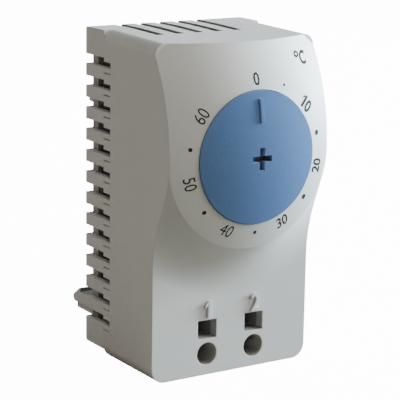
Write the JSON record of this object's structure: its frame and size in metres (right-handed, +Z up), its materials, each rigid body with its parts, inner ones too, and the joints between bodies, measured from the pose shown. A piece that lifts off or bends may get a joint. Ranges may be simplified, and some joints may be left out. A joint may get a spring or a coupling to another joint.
{
  "type": "din rail thermostat",
  "caption": "Small cabinet thermostat with a domed housing, a turning temperature dial, push-in wire terminals and a ribbed rear base that clips on a rail.",
  "frame": {"origin": "middle of the seat that lies against the rail, on the back plane", "axes": "+X to the viewer's right seen from the front, -Y out of the front, +Z up"},
  "size_m": [0.0326, 0.0372, 0.06],
  "materials": {
    "front_housing": "light grey, fine satin moulding",
    "rear_base": "light grey, fine satin moulding",
    "dial_knob": "blue, satin",
    "brass": "machined",
    "steel": "plain",
    "white_plastic": "natural white",
    "black_plastic": "black, matt",
    "bimetal": "rolled",
    "silver": "plated",
    "magnet": "sintered"
  },
  "bodies": {
    "housing": {"front_housing": "front_housing", "rear_base": "rear_base", "mechanism_frame": "black_plastic", "frame_screws": "steel", "spindle_bush": "brass", "stop_pin": "steel", "setting_spring": "steel", "bimetal_strip": "bimetal", "bimetal_rivets": "brass", "calibration_screw": "brass", "bimetal_bar": "brass", "contact_bar": "brass", "fixed_contact": "silver", "moving_contact": "silver", "snap_keeper": "steel", "snap_magnet": "magnet", "clamp_spring_1": "steel", "clamp_spring_2": "steel"},
    "dial": {"dial_knob": "dial_knob", "setting_spindle": "brass", "setting_cam": "white_plastic", "spindle_clip": "steel", "friction_washer": "steel"},
    "follower": {"cam_follower": "white_plastic"}
  },
  "joints": [
    {"name": "dial_turn", "type": "hinge", "parent": "housing", "child": "dial", "pos_m": [0, -0.0309, 0.012], "axis": [0, 1, 0], "range_deg": [0, 306]},
    {"name": "follower_slide", "type": "slide", "parent": "housing", "child": "follower", "axis": [0, 0, -1], "range_m": [0, 0.0022], "deforming": ["setting_spring"]}
  ],
  "couplings": [
    {"joint": "follower_slide", "follows": "dial_turn", "m_per_rad": 0.00041193}
  ]
}
